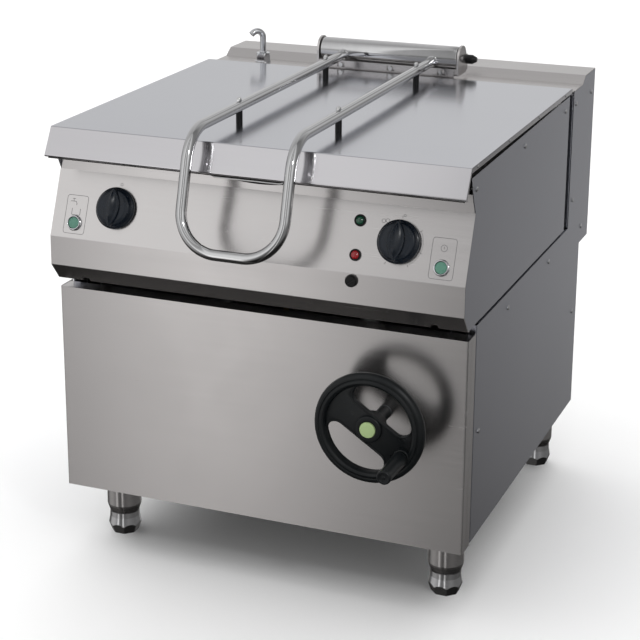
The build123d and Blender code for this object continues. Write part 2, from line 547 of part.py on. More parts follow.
# safety thermostat reset under a slotted cap on the upright band
rp = Plane(origin=(RESET[0], -30.25, RESET[1]), x_dir=(1, 0, 0), z_dir=(0, -1, 0))
rcap = rp * (Cylinder(11.2, 3.2, align=(Align.CENTER, Align.CENTER, Align.MIN)) + Pos(0, 0, 3.2) * Cone(11.2, 9.6, 4.2, align=(Align.CENTER, Align.CENTER, Align.MIN)))
rcap -= rp * Pos(0, 0, 6.8) * Rot(0, 0, 35) * Box(26, 2.4, 2.6)
rcap += rp * Pos(0, 0, -10) * Cylinder(5.0, 10.1, align=(Align.CENTER, Align.CENTER, Align.MIN))
save("reset_cap", rcap)

# ---------------------------------------------------------------- handwheel and drive
wx, wy, wz = WHEEL
WP = Plane(origin=(wx, wy, wz), x_dir=(1, 0, 0), z_dir=(0, -1, 0))   # local z towards the operator
R = WHEEL_R
rim_prof = make_face(Polyline(
    (80, -6), (80.5, 8), (83, 11.2), (86.5, 12), (89.5, 10.8), (90.6, 8.6), (92.2, 9.6), (95.5, 9.2), (99.5, 6.2), (R, 1.0), (R, -4.0),
    (99.5, -9.0), (94, -11.5), (86, -11.5), (81.5, -9.5), close=True))
wheel = revolve(Plane.XZ * rim_prof, Axis.Z)
win = Circle(79.0) & Pos(0, -27 - 60) * Rectangle(200, 120)
win = fillet(win.vertices(), 17)
web = Cylinder(80.5, 8)
for a in (0, 180):
    web -= Rot(0, 0, a) * Pos(0, 0, -10) * extrude(win, 20)
# raised edge that borders the web along both windows
edge = extrude(offset(win, amount=3.2) - win, 3.0) & Cylinder(80.3, 30)
wheel += web
for a in (0, 180):
    wheel += Rot(0, 0, a) * Pos(0, 0, 3.5) * edge
wheel += Pos(0, 0, -24) * Cylinder(24.5, 33.5, align=(Align.CENTER, Align.CENTER, Align.MIN))
wheel += Pos(0, 0, -76.2) * Cylinder(12.6, 53, align=(Align.CENTER, Align.CENTER, Align.MIN))
gx, gy = GRIP_RAD, 0.0
wheel += Pos(gx, gy, -6) * Cylinder(15, 18, align=(Align.CENTER, Align.CENTER, Align.MIN))
wheel -= Pos(0, 0, -90) * Cylinder(8.02, 97.0, align=(Align.CENTER, Align.CENTER, Align.MIN))
wheel -= Pos(gx, gy, -10) * Cylinder(4.02, 30, align=(Align.CENTER, Align.CENTER, Align.MIN))
WR = WP * Rot(0, 0, WEB_ANGLE)
save("handwheel", WR * wheel)
capd = revolve(Plane.XZ * make_face(Polyline((0, 9.55), (14.4, 9.55), (14.4, 11.2), (13.4, 12.2), (8, 13.2), (0, 13.5), close=True)), Axis.Z)
save("wheel_cap", WP * capd)
shaft = rod((wx, wy - 6.9, wz), (0, 1, 0), 8.0, 6.9 - wy + 50.0) + frustum((wx, 40, wz), (0, 1, 0), 18, 8.6, 10)
save("handwheel_shaft", shaft)
stud = WR * Pos(gx, gy, -6) * Cylinder(4.0, 12 + 6 + 2 + GRIP_LEN - 6, align=(Align.CENTER, Align.CENTER, Align.MIN))
save("grip_stud", stud)
gprof = make_face(Polyline(
    (4.06, 0), (10.5, 0), (12.6, 1.6), (13.6, 8), (13.4, 24), (12.4, 50), (12.4, 74), (13.0, 82), (12.6, 86), (10.8, 88), (0, 88), (0, 83), (4.06, 83), close=True))
grip = revolve(Plane.XZ * gprof, Axis.Z)
save("handwheel_grip", WR * Pos(gx, gy, 14.0) * grip)

# gearbox behind the panel, its snout carries the wheel shaft through the hole
gbx0, gbx1, gby0, gby1, gbz0, gbz1 = wx - 27, wx + 27, 33, 87, wz - 27, wz + 27
gb = bx(gbx0, gbx1, gby0, gby1, gbz0, gbz1) - bx(gbx0 + 5, gbx1 - 5, gby0 + 5, gby1 - 5, gbz0 + 5, gbz1 - 5)
gb += ring((wx, -2.6, wz), (0, 1, 0), 12.6, 8.05, 36)
gb -= rod((wx, -4, wz), (0, 1, 0), 8.05, 43)
gb -= rod((gbx0 - 2, JACK_P[0], JACK_P[1]), (1, 0, 0), 7.05, 12)
save("gearbox_housing", gb)

# cross shaft, lifting spindle
cs_ = rod((JACK_X + 10, *JACK_P), (1, 0, 0), 7.0, wx - 10 - (JACK_X + 10))
cs_ += frustum((wx - 20, *JACK_P), (1, 0, 0), 18, 8.6, 10)
cs_ += frustum((JACK_X + 10, *JACK_P), (1, 0, 0), 8.6, 18, 10)
save("cross_shaft", cs_)

g0 = math.radians(JACK_DEG)
JD = (0.0, math.cos(g0), math.sin(g0))
JP = Plane(origin=(JACK_X, JACK_P[0], JACK_P[1]), x_dir=(1, 0, 0), z_dir=JD)   # local z along the spindle
head = Box(52, 52, 52) - Box(43, 43, 43)
head += Pos(0, 0, 25) * (Cylinder(18, 138, align=(Align.CENTER, Align.CENTER, Align.MIN)))
head -= Pos(0, 0, 15) * Cylinder(15.5, 150, align=(Align.CENTER, Align.CENTER, Align.MIN))
head += Pos(-26, 0, 0) * Rot(0, -90, 0) * Cylinder(8.0, 22, align=(Align.CENTER, Align.CENTER, Align.MIN))
head -= Pos(15, 0, 0) * Rot(0, 90, 0) * Cylinder(7.05, 20, align=(Align.CENTER, Align.CENTER, Align.MIN))
save("spindle_tube", JP * head)
screw = Pos(0, 0, 20) * Cylinder(8.5, 138, align=(Align.CENTER, Align.CENTER, Align.MIN)) + Pos(0, 0, 10) * Cone(8.6, 17.6, 10, align=(Align.CENTER, Align.CENTER, Align.MIN))
save("lift_screw", JP * screw)
ram = Pos(0, 0, 42) * Cylinder(15.42, 146, align=(Align.CENTER, Align.CENTER, Align.MIN))
ram -= Pos(0, 0, 41) * Cylinder(8.58, 30, align=(Align.CENTER, Align.CENTER, Align.MIN))
ram -= Pos(0, 0, 66) * Cylinder(10.5, 112, align=(Align.CENTER, Align.CENTER, Align.MIN))
eye = Rot(0, 90, 0) * Cylinder(23.0, 24)
ram += Pos(0, 0, JACK_L) * eye
ram -= Pos(0, 0, JACK_L) * Rot(0, 90, 0) * Cylinder(15.8, 40)
save("lift_ram", JP * ram)

# ---------------------------------------------------------------- lid
ly, lz = LID_FRONT
lid_mid = [(LID_REAR - 0.75, LID_SKIRT), (LID_REAR - 0.75, LID_TOP - 0.75), (ly + 0.42, LID_TOP - 0.75), (LID_NOSE[0] + 0.95, LID_NOSE[1] + 0.5), (LID_NOSE[0] + 9, LID_NOSE[1] - 0.6)]
lid = strip_x(lid_mid, -HX, HX, SHEET, 1.6)
skirt_pts = [(LID_REAR - 2, LID_SKIRT), (LID_REAR - 2, LID_TOP - 1.9), (ly + 1.3, LID_TOP - 1.9), (LID_NOSE[0] + 2.6, LID_NOSE[1] + 1.3), (LID_NOSE[0] + 8.5, LID_NOSE[1] + 1.3), (-11.0, LID_SKIRT)]
sk = poly_x(skirt_pts, HX - SHEET, HX)
RIVETS = [23.2, 218.2, 419.1, 619.9]
RIV_Z = 847.0
for y in RIVETS:
    sk -= rod((HX - 4, y, RIV_Z), (1, 0, 0), 2.1, 8)
lid += sk
lid += mx(sk)
POST_Y = (155.0, 590.0)
for sx in (-1, 1):
    for y in POST_Y:
        lid -= rod((sx * RAIL_X, y, LID_TOP - 5), (0, 0, 1), 3.2, 8)
save("lid_shell", lid)


def rivet(y):
    return rod((HX - 7, y, RIV_Z), (1, 0, 0), 2.0, 7.05) + Plane(origin=(HX + 0.02, y, RIV_Z), z_dir=(1, 0, 0)) * Cone(3.2, 1.9, 1.2, align=(Align.CENTER, Align.CENTER, Align.MIN))


rv = [rivet(y) for y in RIVETS]
save("lid_rivets", *rv, *[mx(r) for r in rv])
# inner tray of the lid: the drip edge that closes the well
liner = strip_y([(-352, 828.5), (-352, 849.6), (352, 849.6), (352, 828.5)], 56, 634, 1.2)
liner += strip_x([(56.6, 828.5), (56.6, 849.6), (90, 849.6)], -351, 351, 1.2)
liner += strip_x([(633.4, 828.5), (633.4, 849.6), (600, 849.6)], -351, 351, 1.2)
for sx in (-1, 1):
    liner += strip_y([(sx * 351, 849.6), (sx * 390, 849.6), (sx * 390, 846)], 40, 650, 1.2, 1.0)
    for y in POST_Y:
        liner -= rod((sx * RAIL_X, y, LID_TOP - 8), (0, 0, 1), 3.2, 9)
save("lid_liner", liner)

# handle: one bent tube, two rails over the lid and a loop in front
h_pts = [(-RAIL_X, 692, 880), (-RAIL_X, -56.6, 880), (-RAIL_X, -114, 679), (RAIL_X, -114, 679), (RAIL_X, -56.6, 880), (RAIL_X, 692, 880)]
hpath = FilletPolyline(*h_pts, radius=[72, 72, 72, 72])
handle = sweep(Plane(origin=h_pts[0], z_dir=(0, -1, 0)) * Circle(ROD_R), path=hpath)
hollow = sweep(Plane(origin=h_pts[0], z_dir=(0, -1, 0)) * Circle(ROD_R - 1.5), path=hpath)
handle -= hollow
for sx in (-1, 1):
    for y in POST_Y:
        handle -= rod((sx * RAIL_X, y, 860), (0, 0, 1), 3.2, 40)
handle -= rod((-200, *HINGE), (1, 0, 0), HINGE_R, 400)
save("lid_handle", handle)
spacers, hscrews = [], []
for sx in (-1, 1):
    for y in POST_Y:
        p = rod((sx * RAIL_X, y, LID_TOP + 0.05), (0, 0, 1), 6.2, 26) - rod((sx * RAIL_X, y - 20, 880), (0, 1, 0), ROD_R + 0.02, 40) - bx(sx * RAIL_X - 8, sx * RAIL_X + 8, y - 8, y + 8, 879.9, 890)
        p -= rod((sx * RAIL_X, y, LID_TOP - 1), (0, 0, 1), 3.2, 40)
        spacers.append(sorted(p.solids(), key=lambda q: -q.volume)[0])
        n = extrude(Plane.XY.offset(880 + ROD_R + 0.05) * Pos(sx * RAIL_X, y) * RegularPolygon(4.6, 6, major_radius=False), 3.2)
        n += Pos(sx * RAIL_X, y, 883.2 + ROD_R) * (Sphere(4.3) & Pos(0, 0, 2.5) * Box(10, 10, 5))
        n += rod((sx * RAIL_X, y, 844.0), (0, 0, 1), 3.0, 37 + ROD_R)
        hscrews.append(n)
save("handle_spacers", *spacers)
save("handle_screws", *hscrews)

# lid hinge: tube turning on an axle in a cradle with D-shaped ends
htube = ring((-149.5, *HINGE), (1, 0, 0), HINGE_R, HINGE_R - 2.6, 299)
for x0 in (-149.5, 137.5):
    htube += ring((x0, *HINGE), (1, 0, 0), HINGE_R - 1.0, 8.06, 12)
save("hinge_tube", htube)
axle = rod((-151.5, *HINGE), (1, 0, 0), 8.0, 303)
axle += rod((156.6, *HINGE), (1, 0, 0), 4.8, 2.0) + rod((-158.6, *HINGE), (1, 0, 0), 4.8, 2.0) + rod((-158, *HINGE), (1, 0, 0), 3.0, 316)
save("hinge_axle", axle)

DR = 27.0
def dplate(x0, x1):
    a, b = (HINGE[0] - DR, HINGE[1]), (HINGE[0] + DR, HINGE[1])
    f = make_face([Line((a[0], 853.6), a), ThreePointArc(a, (HINGE[0], HINGE[1] + DR), b), Line(b, (b[0], 853.6)), Line((b[0], 853.6), (a[0], 853.6))])
    return extrude(Plane.YZ.offset(x0) * f, x1 - x0)


cradle = dplate(151.8, 156.4) + mx(dplate(151.8, 156.4))
cradle += strip_x([(687.6, 866.5), (687.6, 854.7), (HINGE[0] + DR + 6, 854.7)], -152.4, 152.4, 2.0)
cradle += bx(147, 152.6, 740, 763.5, 855.0, 888)
cradle -= rod((-170, *HINGE), (1, 0, 0), 3.1, 340)
SLOTS = (-99.7, 10.5, 120.4)
for x in SLOTS:
    cradle -= bx(x - 3.1, x + 3.1, 680, 692, 856.5, 864.5)
save("hinge_cradle", cradle)
hbr = strip_x([(640, RIM_Z + 1.05), (684.6, RIM_Z + 1.05), (684.6, 868.5)], -148, 148, 2.0)
for x in SLOTS:
    hbr -= bx(x - 8.5, x + 8.5, 680, 690, 855.5, 865.8)
save("hinge_bracket", hbr)
hbolts = []
for x in SLOTS:
    hbolts.append(rod((x, 680.4, 860.6), (0, 1, 0), 4.4, 6.1) + rod((x, 686.4, 860.6), (0, 1, 0), 3.0, 5.4))
save("hinge_bolts", *hbolts)
buf = rod((152.7, 754, 878), (1, 0, 0), 9.6, 14) + Plane(origin=(165.8, 754, 878), z_dir=(1, 0, 0)) * Cone(9.6, 5.0, 9.5, align=(Align.CENTER, Align.CENTER, Align.MIN))
save("hinge_adjuster", buf)

print(len(written), "sub-parts;", "Y_SHIFT", round(Y_SHIFT, 3))
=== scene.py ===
import json
import math

import bmesh
import bpy
from mathutils import Matrix, Vector
from mathutils.geometry import tessellate_polygon


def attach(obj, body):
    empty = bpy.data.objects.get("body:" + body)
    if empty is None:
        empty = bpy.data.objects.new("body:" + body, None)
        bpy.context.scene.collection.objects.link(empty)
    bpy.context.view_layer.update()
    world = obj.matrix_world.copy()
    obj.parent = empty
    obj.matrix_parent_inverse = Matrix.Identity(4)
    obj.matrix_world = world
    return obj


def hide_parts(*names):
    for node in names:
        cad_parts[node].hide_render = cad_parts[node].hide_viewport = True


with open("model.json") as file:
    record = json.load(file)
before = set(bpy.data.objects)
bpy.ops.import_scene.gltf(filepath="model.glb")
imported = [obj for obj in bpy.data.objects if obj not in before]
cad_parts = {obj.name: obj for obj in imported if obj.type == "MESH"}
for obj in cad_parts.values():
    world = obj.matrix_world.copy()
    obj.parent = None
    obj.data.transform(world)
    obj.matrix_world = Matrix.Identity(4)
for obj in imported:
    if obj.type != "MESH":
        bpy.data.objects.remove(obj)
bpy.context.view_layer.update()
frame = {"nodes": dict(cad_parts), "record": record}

NODES = frame["nodes"]
YS = -0.343          # the construction's y = 0 (face of the lower front panel) in the row frame


def P(x, y, z):
    """construction millimetres to the row frame's metres"""
    return Vector((x / 1000.0, y / 1000.0 + YS, z / 1000.0))


# ------------------------------------------------------------------ dimensions used again here
Q_TOP = (17.6, 765.3)
Q_KNEE = (-29.8, 648.5)
_l = math.hypot(Q_KNEE[0] - Q_TOP[0], Q_KNEE[1] - Q_TOP[1])
PT = ((Q_KNEE[0] - Q_TOP[0]) / _l, (Q_KNEE[1] - Q_TOP[1]) / _l)
PN = (PT[1], -PT[0])


def panel_matrix(x, s, h=0.0):
    """local x across, y up the sloping face, z out of it; millimetre units are scaled to metres"""
    o = P(x, Q_TOP[0] + PT[0] * s + PN[0] * h, Q_TOP[1] + PT[1] * s + PN[1] * h)
    ex = Vector((1, 0, 0))
    ez = Vector((0, PN[0], PN[1]))
    ey = ez.cross(ex)
    m = Matrix((ex, ey, ez)).transposed().to_4x4()
    m.translation = o
    return m @ Matrix.Scale(0.001, 4)


def frame_matrix(o, ez, ex):
    ez = Vector(ez).normalized()
    ex = Vector(ex).normalized()
    ey = ez.cross(ex).normalized()
    ex = ey.cross(ez)
    m = Matrix((ex, ey, ez)).transposed().to_4x4()
    m.translation = o
    return m @ Matrix.Scale(0.001, 4)


# ------------------------------------------------------------------ materials
def new_mat(name):
    m = bpy.data.materials.new(name)
    m.use_nodes = True
    nt = m.node_tree
    nt.nodes.clear()
    out = nt.nodes.new("ShaderNodeOutputMaterial")
    b = nt.nodes.new("ShaderNodeBsdfPrincipled")
    nt.links.new(b.outputs[0], out.inputs[0])
    return m, nt, b


def coords(nt, scale, rot=(0, 0, 0), loc=(0, 0, 0)):
    tc = nt.nodes.new("ShaderNodeTexCoord")
    mp = nt.nodes.new("ShaderNodeMapping")
    mp.inputs["Scale"].default_value = scale
    mp.inputs["Rotation"].default_value = rot
    mp.inputs["Location"].default_value = loc
    nt.links.new(tc.outputs["Object"], mp.inputs["Vector"])
    return mp.outputs[0]


def noise(nt, vec, scale, detail=3.0, rough=0.5, dist=0.0):
    n = nt.nodes.new("ShaderNodeTexNoise")
    n.inputs["Scale"].default_value = scale
    n.inputs["Detail"].default_value = detail
    n.inputs["Roughness"].default_value = rough
    n.inputs["Distortion"].default_value = dist
    nt.links.new(vec, n.inputs["Vector"])
    return n.outputs[0]


def ramp(nt, fac, stops):
    r = nt.nodes.new("ShaderNodeValToRGB")
    el = r.color_ramp.elements
    while len(el) > len(stops):
        el.remove(el[-1])
    while len(el) < len(stops):
        el.new(0.5)
    for e, (p, c) in zip(el, stops):
        e.position = p
        e.color = (*c, 1) if len(c) == 3 else c
    nt.links.new(fac, r.inputs[0])
    return r.outputs[0]


def remap(nt, val, a, b, lo=0.0, hi=1.0):
    m = nt.nodes.new("ShaderNodeMapRange")
    m.inputs["From Min"].default_value = lo
    m.inputs["From Max"].default_value = hi
    m.inputs["To Min"].default_value = a
    m.inputs["To Max"].default_value = b
    nt.links.new(val, m.inputs["Value"])
    return m.outputs[0]


def math_node(nt, op, a, b):
    m = nt.nodes.new("ShaderNodeMath")
    m.operation = op
    for i, v in enumerate((a, b)):
        if isinstance(v, (int, float)):
            m.inputs[i].default_value = v
        else:
            nt.links.new(v, m.inputs[i])
    return m.outputs[0]


def bump(nt, height, strength, distance, prev=None):
    bn = nt.nodes.new("ShaderNodeBump")
    bn.inputs["Strength"].default_value = strength
    bn.inputs["Distance"].default_value = distance
    nt.links.new(height, bn.inputs["Height"])
    if prev is not None:
        nt.links.new(prev, bn.inputs["Normal"])
    return bn.outputs[0]


def brushed(name, colour, rough, grain="x", spread=0.05, wave=0.25, streak=0.04, aniso=0.0, grain_bump=0.25):
    """stainless sheet: fine grain along one axis, faint cloudiness, slow waviness of the sheet"""
    m, nt, b = new_mat(name)
    b.inputs["Metallic"].default_value = 1.0
    long_, short_ = 3.0, 900.0
    sc = {"x": (long_, short_, short_), "y": (short_, long_, short_), "z": (short_, short_, long_)}[grain]
    fine = noise(nt, coords(nt, sc), 1.0, 2.0, 0.6)
    sc2 = tuple(v * 0.12 if v > 100 else v * 0.5 for v in sc)
    mid = noise(nt, coords(nt, sc2, loc=(3, 7, 1)), 1.0, 3.0, 0.55)
    cloud = noise(nt, coords(nt, (1, 1, 1), loc=(5, 2, 9)), 5.0, 4.0, 0.55, 0.4)
    c = Vector(colour)
    mixed = math_node(nt, "ADD", math_node(nt, "MULTIPLY", fine, 0.45), math_node(nt, "MULTIPLY", mid, 0.55))
    col = ramp(nt, mixed, [(0.3, tuple(c * (1 - streak))), (0.7, tuple(min(1.0, v * (1 + streak)) for v in c))])
    nt.links.new(col, b.inputs["Base Color"])
    rr = math_node(nt, "ADD", math_node(nt, "MULTIPLY", mixed, 0.6), math_node(nt, "MULTIPLY", cloud, 0.4))
    nt.links.new(remap(nt, rr, rough - spread, rough + spread, 0.35, 0.65), b.inputs["Roughness"])
    slow = noise(nt, coords(nt, (1, 1, 1), loc=(1, 4, 2)), 2.2, 1.0, 0.4)
    n1 = bump(nt, slow, wave, 0.004)
    n2 = bump(nt, mixed, grain_bump, 0.00006, n1) if grain_bump else n1
    nt.links.new(n2, b.inputs["Normal"])
    if aniso:
        b.inputs["Anisotropic"].default_value = aniso
        tg = nt.nodes.new("ShaderNodeTangent")
        tg.direction_type = "RADIAL"
        tg.axis = {"x": "X", "z": "Z", "y": "Y"}[grain]
        nt.links.new(tg.outputs[0], b.inputs["Tangent"])
    return m


def plastic(name, colour, rough=0.35, grain=900.0, depth=0.15, coat=0.0, spec=0.5, wear=(0.06, 0.06, 0.06)):
    """moulded plastic: fine texture, slight mottling, dust and polish differences"""
    m, nt, b = new_mat(name)
    cl = noise(nt, coords(nt, (1, 1, 1)), 40.0, 4.0, 0.6)
    c = Vector(colour)
    w = Vector(wear)
    col = ramp(nt, cl, [(0.35, tuple(c)), (0.75, tuple(c + w * 0.12))])
    nt.links.new(col, b.inputs["Base Color"])
    nt.links.new(remap(nt, cl, rough * 0.8, rough * 1.25, 0.3, 0.7), b.inputs["Roughness"])
    g = noise(nt, coords(nt, (1, 1, 1)), grain, 2.0, 0.5)
    nt.links.new(bump(nt, g, depth, 0.0002), b.inputs["Normal"])
    b.inputs["Specular IOR Level"].default_value = spec
    if coat:
        b.inputs["Coat Weight"].default_value = coat
        b.inputs["Coat Roughness"].default_value = 0.08
    return m


M = {}
M["panel_steel"] = brushed("front_steel", (0.63, 0.61, 0.605), 0.25, "x", wave=0.10, aniso=0.7, spread=0.025, streak=0.025, grain_bump=0.05)
# painted shade: the side sheets use a darker, bluer copy of the front steel, because they face away from the light
M["side_steel_shaded"] = brushed("side_steel_shaded", (0.435, 0.445, 0.495), 0.26, "z", wave=0.08, aniso=0.3, spread=0.006, streak=0.006, grain_bump=0.0)
# painted reflection: the lid steel's blue cast stands in for the cool overhead that the lid top reflects
M["lid_steel"] = brushed("lid_steel", (0.58, 0.587, 0.628), 0.15, "x", spread=0.02, wave=0.08, aniso=0.3, streak=0.02, grain_bump=0.03)
nt = M["lid_steel"].node_tree
bsdf = [n for n in nt.nodes if n.type == "BSDF_PRINCIPLED"][0]
src = bsdf.inputs["Base Color"].links[0].from_socket
# painted reflection tint by facing: faces tilted away from straight up are warmed, so only the upward-facing top keeps
# the blue cast
geo = nt.nodes.new("ShaderNodeTexCoord")
sepn = nt.nodes.new("ShaderNodeSeparateXYZ")
nt.links.new(geo.outputs["Normal"], sepn.inputs[0])
painted_reflection_tint = ramp(nt, sepn.outputs["Z"], [(0.7, (1.03, 1.0, 0.965)), (0.95, (1.0, 1.0, 1.0))])
mx_ = nt.nodes.new("ShaderNodeMix")
mx_.data_type = "RGBA"
mx_.blend_type = "MULTIPLY"
mx_.inputs["Factor"].default_value = 1.0
nt.links.new(src, mx_.inputs[6])
nt.links.new(painted_reflection_tint, mx_.inputs[7])
nt.links.new(mx_.outputs[2], bsdf.inputs["Base Color"])
M["frame_steel"] = brushed("frame_steel", (0.36, 0.36, 0.36), 0.42, "z", spread=0.08)
M["tube_steel"] = brushed("tube_steel", (0.60, 0.60, 0.605), 0.085, "y", spread=0.02, wave=0.0, grain_bump=0.05)
M["pan_steel"] = brushed("pan_steel", (0.60, 0.60, 0.60), 0.30, "y", spread=0.07)
M["foot_steel"] = brushed("foot_steel", (0.60, 0.60, 0.61), 0.18, "z", wave=0.0, spread=0.05)
M["pin_steel"] = brushed("pin_steel", (0.55, 0.55, 0.55), 0.25, "x", wave=0.0)
M["fastener"] = brushed("fastener_steel", (0.72, 0.72, 0.72), 0.16, "x", wave=0.0, grain_bump=0.05)
M["chrome"] = brushed("chrome_plate", (0.68, 0.69, 0.71), 0.06, "z", spread=0.02, wave=0.0, streak=0.01, grain_bump=0.03)
M["heat_plate"] = brushed("heat_plate", (0.45, 0.45, 0.46), 0.4, "x")
M["element"] = brushed("element_sheath", (0.16, 0.14, 0.13), 0.5, "y")
M["gearbox_iron"] = plastic("gearbox_paint", (0.05, 0.055, 0.06), 0.45, 300.0, 0.5)
M["brass_fitting"] = brushed("pipe_brass", (0.62, 0.46, 0.22), 0.3, "z", wave=0.0)
M["rubber_black"] = plastic("buffer_rubber", (0.018, 0.018, 0.018), 0.75, 500.0, 0.4, spec=0.3)
M["black_plastic"] = plastic("black_plastic", (0.004, 0.004, 0.0045), 0.34, 700.0, 0.08, spec=0.3, wear=(0.02, 0.02, 0.02))
M["valve_plastic"] = plastic("valve_plastic", (0.42, 0.42, 0.40), 0.45)
M["wheel_black"] = plastic("wheel_phenolic", (0.0035, 0.0048, 0.0056), 0.33, 500.0, 0.05, spec=0.32, wear=(0.02, 0.02, 0.02))
M["knob_black"] = plastic("knob_black", (0.0035, 0.0065, 0.0115), 0.27, 500.0, 0.04, spec=0.38, wear=(0.02, 0.03, 0.05))
M["button_green"] = plastic("button_green", (0.085, 0.225, 0.165), 0.25, 600.0, 0.05)
M["cap_green"] = plastic("cap_green", (0.33, 0.44, 0.20), 0.40, 300.0, 0.2)
M["lens_green"] = plastic("lens_green", (0.003, 0.055, 0.026), 0.12, 200.0, 0.3, coat=0.6)
M["lens_red"] = plastic("lens_red", (0.24, 0.004, 0.008), 0.12, 200.0, 0.3, coat=0.6)


def print_mat():
    m, nt, b = new_mat("print_grey")
    cl = noise(nt, coords(nt, (1, 1, 1)), 300.0, 3.0, 0.6)
    nt.links.new(ramp(nt, cl, [(0.3, (0.10, 0.10, 0.10)), (0.8, (0.15, 0.15, 0.15))]), b.inputs["Base Color"])
    nt.links.new(remap(nt, cl, 0.4, 0.6), b.inputs["Roughness"])
    return m


M["print"] = print_mat()
M["white_mark"] = plastic("white_mark", (0.62, 0.66, 0.70), 0.5)


def assign(obj, mat):
    if not obj.material_slots:
        obj.data.materials.append(None)
    for s in obj.material_slots:
        s.link = "OBJECT"
        s.material = mat


slot_of = {}
for sp in frame["record"]["subparts"]:
    slot_of[sp["node"]] = sp["material_slot"]
for n, o in NODES.items():
    key = slot_of.get(n, "panel_steel")
    # painted shade: the side panels and tilt casing get the darker, bluer copy of the steel
    if n in ("side_panel_left", "side_panel_right", "tilt_casing"):
        key = "side_steel_shaded"
    assign(o, M[key])


# ------------------------------------------------------------------ mesh helpers
def finish_mesh(name, verts, faces, mat, body, slot=None, angle=35.0, matrix=None):
    me = bpy.data.meshes.new(name)
    me.from_pydata([tuple(v) for v in verts], [], faces)
    me.validate()
    if matrix is not None:
        me.transform(matrix)
    bm = bmesh.new()
    bm.from_mesh(me)
    bmesh.ops.remove_doubles(bm, verts=bm.verts, dist=1e-7)
    bmesh.ops.recalc_face_normals(bm, faces=bm.faces)
    bm.to_mesh(me)
    bm.free()
    me.shade_smooth()
    me.set_sharp_from_angle(angle=math.radians(angle))
    me.materials.append(mat)
    ob = bpy.data.objects.new(name, me)
    bpy.context.scene.collection.objects.link(ob)
    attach(ob, body)
    return ob


def lathe_data(profile, segs=72):
    """profile of (r, z) pairs turned about z; r = 0 at an end closes it"""
    verts, faces, rings = [], [], []
    for r, z in profile:
        if r <= 1e-9:
            rings.append([len(verts)])
            verts.append((0, 0, z))
        else:
            ring = []
            for i in range(segs):
                a = 2 * math.pi * i / segs
                ring.append(len(verts))
                verts.append((r * math.cos(a), r * math.sin(a), z))
            rings.append(ring)
    for a, b in zip(rings, rings[1:]):
        if len(a) == 1 and len(b) == 1:
            continue
        for i in range(segs):
            j = (i + 1) % segs
            if len(a) == 1:
                faces.append((a[0], b[i], b[j]))
            elif len(b) == 1:
                faces.append((a[i], a[j], b[0]))
            else:
                faces.append((a[i], a[j], b[j], b[i]))
    return verts, faces


def closed_lathe_data(profile, segs=96):
    """ring: the profile closes on itself"""
    verts, faces = [], []
    n = len(profile)
    for i in range(segs):
        a = 2 * math.pi * i / segs
        for r, z in profile:
            verts.append((r * math.cos(a), r * math.sin(a), z))
    for i in range(segs):
        k = (i + 1) % segs
        for j in range(n):
            l = (j + 1) % n
            faces.append((i * n + j, k * n + j, k * n + l, i * n + l))
    return verts, faces


def merge_data(*parts):
    verts, faces = [], []
    for v, f in parts:
        o = len(verts)
        verts += list(v)
        faces += [tuple(i + o for i in face) for face in f]
    return verts, faces


def moved(data, m):
    v, f = data
    return [m @ Vector(p) for p in v], f


def round_profile(pts, radius, steps=5, closed=False):
    """round the corners of a polyline in 2D; radius may be a list"""
    n = len(pts)
    out = []
    for i in range(n):
        r = radius[i] if isinstance(radius, (list, tuple)) else radius
        if (not closed and i in (0, n - 1)) or r <= 0:
            out.append(pts[i])
            continue
        a, b, c = Vector(pts[i - 1]), Vector(pts[i]), Vector(pts[(i + 1) % n])
        d1, d2 = (a - b), (c - b)
        l1, l2 = d1.length, d2.length
        if l1 < 1e-9 or l2 < 1e-9:
            out.append(pts[i])
            continue
        d1, d2 = d1 / l1, d2 / l2
        ang = math.acos(max(-1, min(1, d1.dot(d2))))
        if ang > math.radians(176):
            out.append(pts[i])
            continue
        t = min(r / math.tan(ang / 2), l1 * 0.48, l2 * 0.48)
        rr = t * math.tan(ang / 2)
        bis = (d1 + d2).normalized()
        cen = b + bis * (rr / math.sin(ang / 2))
        p1, p2 = b + d1 * t, b + d2 * t
        a1 = math.atan2(p1.y - cen.y, p1.x - cen.x)
        a2 = math.atan2(p2.y - cen.y, p2.x - cen.x)
        da = (a2 - a1 + math.pi) % (2 * math.pi) - math.pi
        for k in range(steps + 1):
            aa = a1 + da * k / steps
            out.append((cen.x + rr * math.cos(aa), cen.y + rr * math.sin(aa)))
    return out


def fillet_path(pts, radii, per=16):
    """3D polyline with rounded corners, in millimetres"""
    pts = [Vector(p) for p in pts]
    out = [pts[0]]
    for i in range(1, len(pts) - 1):
        a, b, c = pts[i - 1], pts[i], pts[i + 1]
        d1, d2 = (a - b).normalized(), (c - b).normalized()
        ang = d1.angle(d2)
        t = radii[i - 1] / math.tan(ang / 2)
        cen = b + (d1 + d2).normalized() * (radii[i - 1] / math.sin(ang / 2))
        p1, p2 = b + d1 * t, b + d2 * t
        u = (p1 - cen).normalized()
        w = (p2 - cen).normalized()
        tot = u.angle(w)
        v = (w - u * u.dot(w)).normalized()
        for k in range(per + 1):
            aa = tot * k / per
            out.append(cen + (u * math.cos(aa) + v * math.sin(aa)) * radii[i - 1])
    out.append(pts[-1])
    return out


def densify(path, step):
    """extra points on the straight runs, so that smooth shading stays even"""
    out = [Vector(path[0])]
    for p in path[1:]:
        p = Vector(p)
        a = out[-1]
        n = int((p - a).length // step)
        for k in range(1, n + 1):
            out.append(a + (p - a) * k / (n + 1))
        out.append(p)
    return out


